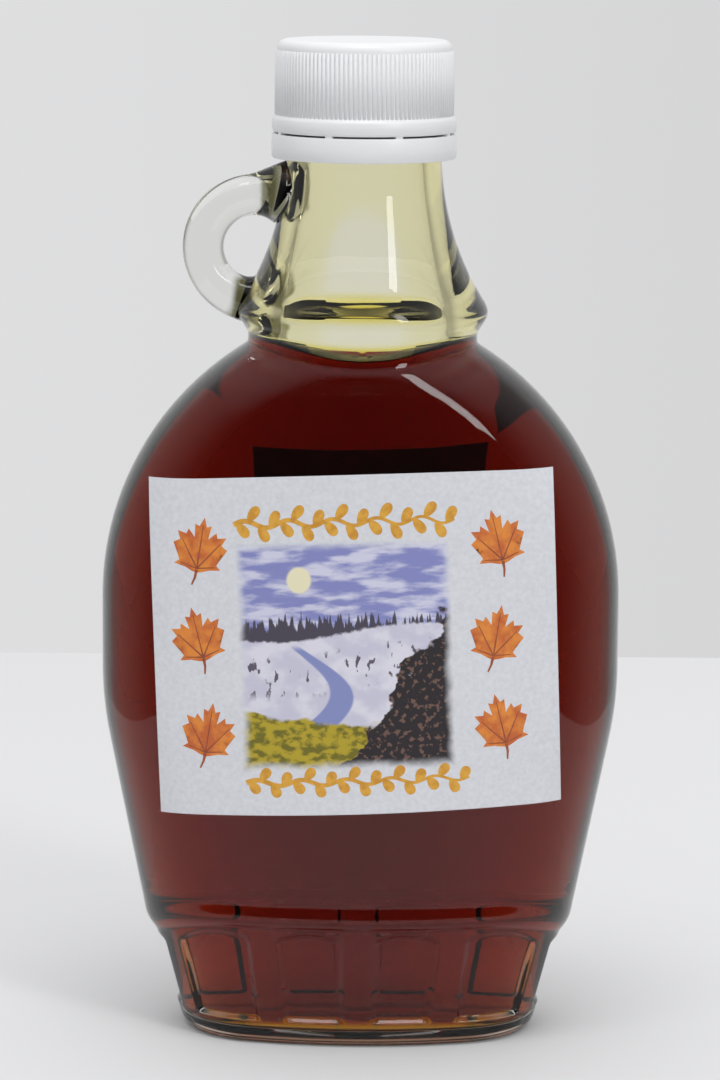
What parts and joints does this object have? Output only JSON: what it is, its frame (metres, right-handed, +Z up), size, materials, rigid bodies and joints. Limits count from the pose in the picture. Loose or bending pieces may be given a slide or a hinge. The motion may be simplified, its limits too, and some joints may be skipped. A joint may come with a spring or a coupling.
{
  "type": "maple syrup bottle",
  "caption": "Flat-faced glass syrup flask with a fluted base, a small ring handle on its flared neck, a white ribbed screw cap and paper labels, filled with dark amber syrup.",
  "frame": {"origin": "centre of the bottle's foot, on the surface it stands on", "axes": "+Z up along the neck, the front label faces -Y, the ring handle is on the -X side"},
  "size_m": [0.087, 0.0433, 0.167],
  "materials": {
    "glass": "clear flint glass, polished",
    "syrup": "dark amber liquid, clear",
    "cap": "white polypropylene, satin",
    "front_paper": "uncoated white paper with a plain print",
    "back_paper": "uncoated white paper"
  },
  "bodies": {
    "root": {"glass_bottle": "glass", "syrup": "syrup", "screw_cap": "cap", "tamper_band": "cap", "front_label": "front_paper", "back_label": "back_paper"}
  },
  "joints": []
}
